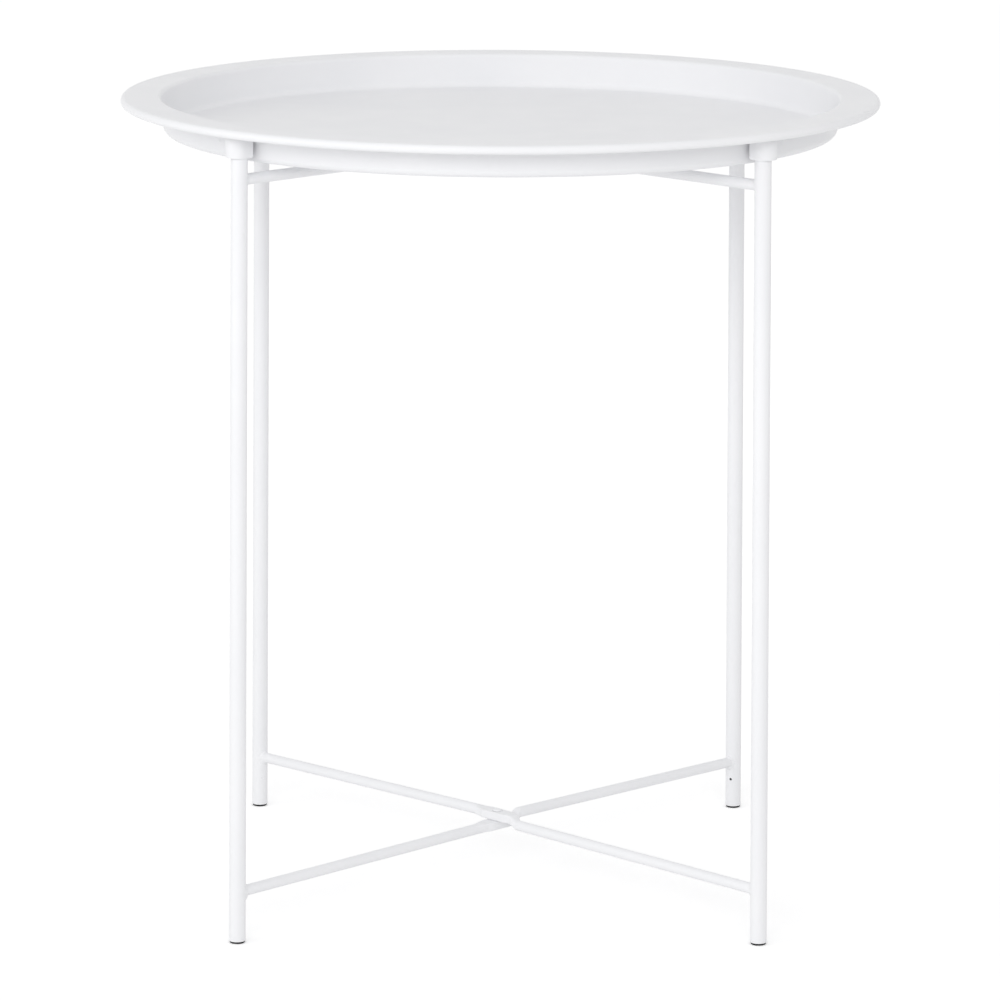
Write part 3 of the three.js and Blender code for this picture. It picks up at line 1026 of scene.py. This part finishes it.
def rivet_profile(middle):
    """A rivet about a height midway between two laps: tail, shank and head."""
    reach = PIVOT_PITCH / 2 + LAP_THICKNESS / 2 + CONTACT

    def dome(radius, seat, rise, up):
        """A head's side, from its rounded lip to near its top, upward (1) or downward (-1)."""
        lip = RIVET_LIP / 2
        points = arc(radius - lip, lip, lip, -90, 0, steps=4)
        for a in DOME_ANGLES:
            points.append([radius * math.cos(a) ** DOME_POWER, lip + (rise - lip) * math.sin(a)])
        return [[across, seat + up * height] for across, height in points]

    head_seat, tail_seat = middle + reach, middle - reach
    return [
        [0.0, tail_seat - RIVET_TAIL_RISE],
        *reversed(dome(RIVET_TAIL_RADIUS, tail_seat, RIVET_TAIL_RISE, -1)),
        [RIVET_RADIUS, tail_seat], [RIVET_RADIUS, head_seat],
        *dome(RIVET_HEAD_RADIUS, head_seat, RIVET_HEAD_RISE, 1),
        [0.0, head_seat + RIVET_HEAD_RISE],
    ]


for level, pair_height in PAIR_HEIGHT.items():
    profile = rivet_profile(pair_height + LAP_RAISE)
    stands_for(f"rivet_{level}", revolved(profile, RIVET_SIDES), "coated_steel")

# ------------------------------------------------------------------ welds of the hooks

# Angles of the lump's rows from its lower end to its upper one, and round each row
LUMP_ROWS = np.radians(np.linspace(4.0, 176.0, 30))
LUMP_ANGLES = np.radians(np.linspace(-30.0, 210.0, 24))


def hook_weld(hand):
    """A smooth lump over a hook's flange end and onto the tray's wall."""
    low, high = (HOOK_TOP - reach for reach in HOOK_WELD_REACH)
    rings = []
    for turn in LUMP_ROWS:
        height = mix(low, high, 0.5 - 0.5 * math.cos(turn))
        size = HOOK_WELD_SIZE * math.sin(turn)
        wall = wall_radius(height)
        x = math.sqrt(wall ** 2 - FLANGE_END ** 2)
        out = np.array([x, -FLANGE_END * hand, 0.0]) / wall
        along = np.array([-FLANGE_END / wall, -x / wall * hand, 0.0])
        middle = np.array([x - LEG_HIGH_REACH, -FLANGE_END * hand, height]) + HOOK_WELD_RISE * out
        rings.append([
            middle + size * (math.cos(a) * along + math.sin(a) * out) for a in LUMP_ANGLES
        ])
    return Skin().tube(rings)


for place in PLACES:
    add_weld(f"hook_{place}", hook_weld(HAND[place]), on_leg(place), "tray")

# ------------------------------------------------------------------ floor, light

FLOOR_HALF = 8.0
FLOOR_WHITE = (0.95, 0.95, 0.95, 1.0)
# The floor's own glow, by distance from a point in front of the table: more of it far away, where
# less light reaches the floor
LIFT_CENTRE = (0.0, -0.5, 0.0)
LIFT_RANGE = (0.2, 1.85)
LIFT = (0.203, 0.325)
# Strength of the world's light on the object; rays that show white see the world at 1
AMBIENT = 0.72
LAMP_AIM = (0.0, 0.0, 0.3)


def floor_material():
    """White floor: diffuse, so that it takes the shadow, and lifted to white for the camera."""
    material, nodes = new_material("floor")
    distance = nodes.add("ShaderNodeVectorMath", operation="DISTANCE")
    nodes.link(nodes.position(), distance.inputs[0])
    distance.inputs[1].default_value = LIFT_CENTRE
    lift = nodes.spread(distance.outputs["Value"], *LIFT, *LIFT_RANGE)
    glow = nodes.add("ShaderNodeEmission")
    nodes.link(nodes.maths("MULTIPLY", lift, nodes.white_rays()), glow.inputs["Strength"])
    matt = nodes.add("ShaderNodeBsdfDiffuse")
    matt.inputs["Color"].default_value = FLOOR_WHITE
    both = nodes.add("ShaderNodeAddShader")
    nodes.link(glow.outputs[0], both.inputs[0])
    nodes.link(matt.outputs[0], both.inputs[1])
    nodes.show(both.outputs[0])
    return material


def studio_floor():
    """A square floor under the table."""
    mesh = bpy.data.meshes.new("floor")
    corners = ((-1, -1), (1, -1), (1, 1), (-1, 1))
    mesh.from_pydata([(x * FLOOR_HALF, y * FLOOR_HALF, 0) for x, y in corners], [], [(0, 1, 2, 3)])
    mesh.materials.append(floor_material())
    return new_object("floor", mesh)


def studio_world():
    """Even white light from all round."""
    world = bpy.data.worlds.new("studio")
    nodes = Nodes(world, "ShaderNodeOutputWorld")
    sky = nodes.add("ShaderNodeBackground")
    sky.inputs["Color"].default_value = WHITE
    strength = nodes.spread(nodes.white_rays(), AMBIENT, 1.0, start=0.0, end=1.0)
    nodes.link(strength, sky.inputs["Strength"])
    nodes.show(sky.outputs[0])
    return world


def area_light(name, place, size, watts):
    """A soft rectangular lamp at a place, turned toward the table."""
    data = bpy.data.lights.new(name, "AREA")
    data.shape = "RECTANGLE"
    data.size, data.size_y = size
    data.energy = watts
    lamp = new_object(name, data)
    lamp.location = place
    lamp.rotation_euler = facing(place, LAMP_AIM)
    return lamp


floor = studio_floor()
bpy.context.scene.world = studio_world()
area_light("key", place=(-3.05, -1.5, 1.1), size=(2.2, 1.8), watts=15.6)
front = area_light("front", place=(-0.3, -3.28, 1.65), size=(3.2, 1.1), watts=32.7)
# Kept out of reflections: seen from behind, it would turn the tray's floor white
front.visible_glossy = False

bpy.context.scene.view_settings.view_transform = "Standard"
